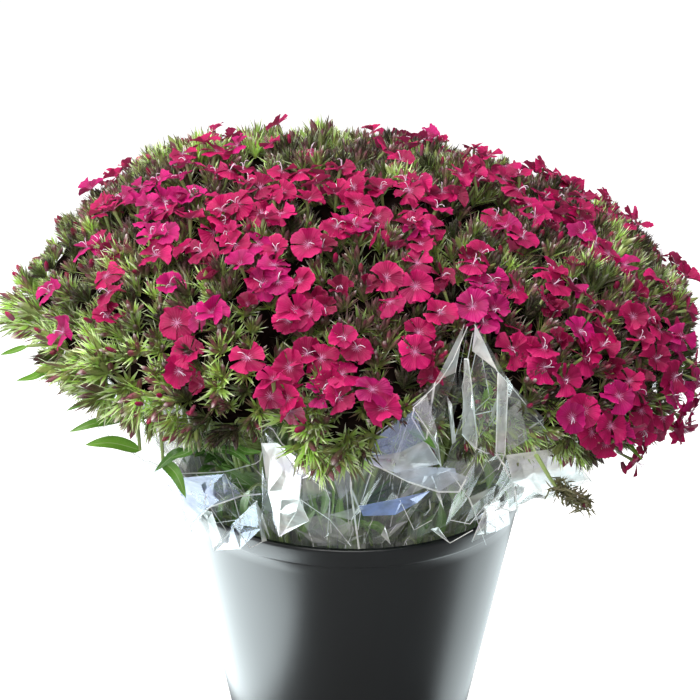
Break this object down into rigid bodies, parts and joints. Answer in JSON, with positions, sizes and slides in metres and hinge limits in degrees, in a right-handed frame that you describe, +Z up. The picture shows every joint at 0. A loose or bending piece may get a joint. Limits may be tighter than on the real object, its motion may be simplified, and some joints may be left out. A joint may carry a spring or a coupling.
{
  "type": "potted sweet william",
  "caption": "Bunches of cut magenta sweet william in clear film sleeves, standing in a tapered black bucket of water; a low dome of flower heads that rests on a flat bottom.",
  "frame": {"origin": "middle of the bucket's flat bottom", "axes": "+Z up, -Y towards the viewer of the picture, +X to that viewer's right"},
  "size_m": [0.5691, 0.5147, 0.5516],
  "materials": {
    "bucket": "satin",
    "water": "clear",
    "foliage": "matte leaf",
    "petal": "soft petal",
    "film": "clear, glossy"
  },
  "bodies": {
    "root": {"back_left_film": "film", "back_left_florets_1": "petal", "back_left_florets_2": "petal", "back_left_florets_3": "petal", "back_left_foliage": "foliage", "back_right_film": "film", "back_right_florets_1": "petal", "back_right_florets_2": "petal", "back_right_florets_3": "petal", "back_right_florets_4": "petal", "back_right_foliage": "foliage", "bucket": "bucket", "front_film": "film", "front_florets_1": "petal", "front_florets_2": "petal", "front_florets_3": "petal", "front_florets_4": "petal", "front_florets_5": "petal", "front_foliage": "foliage", "left_back_film": "film", "left_back_florets_1": "petal", "left_back_florets_2": "petal", "left_back_florets_3": "petal", "left_back_foliage": "foliage", "left_front_film": "film", "left_front_florets_1": "petal", "left_front_florets_2": "petal", "left_front_florets_3": "petal", "left_front_florets_4": "petal", "left_front_florets_5": "petal", "left_front_florets_6": "petal", "left_front_florets_7": "petal", "left_front_florets_8": "petal", "left_front_foliage": "foliage", "middle_florets_1": "petal", "middle_florets_2": "petal", "middle_florets_3": "petal", "middle_florets_4": "petal", "middle_foliage": "foliage", "right_back_film": "film", "right_back_florets_1": "petal", "right_back_florets_2": "petal", "right_back_florets_3": "petal", "right_back_florets_4": "petal", "right_back_florets_5": "petal", "right_back_florets_6": "petal", "right_back_foliage": "foliage", "right_front_film": "film", "right_front_florets_1": "petal", "right_front_florets_10": "petal", "right_front_florets_2": "petal", "right_front_florets_3": "petal", "right_front_florets_4": "petal", "right_front_florets_5": "petal", "right_front_florets_6": "petal", "right_front_florets_7": "petal", "right_front_florets_8": "petal", "right_front_florets_9": "petal", "right_front_foliage": "foliage", "water": "water"}
  },
  "joints": []
}
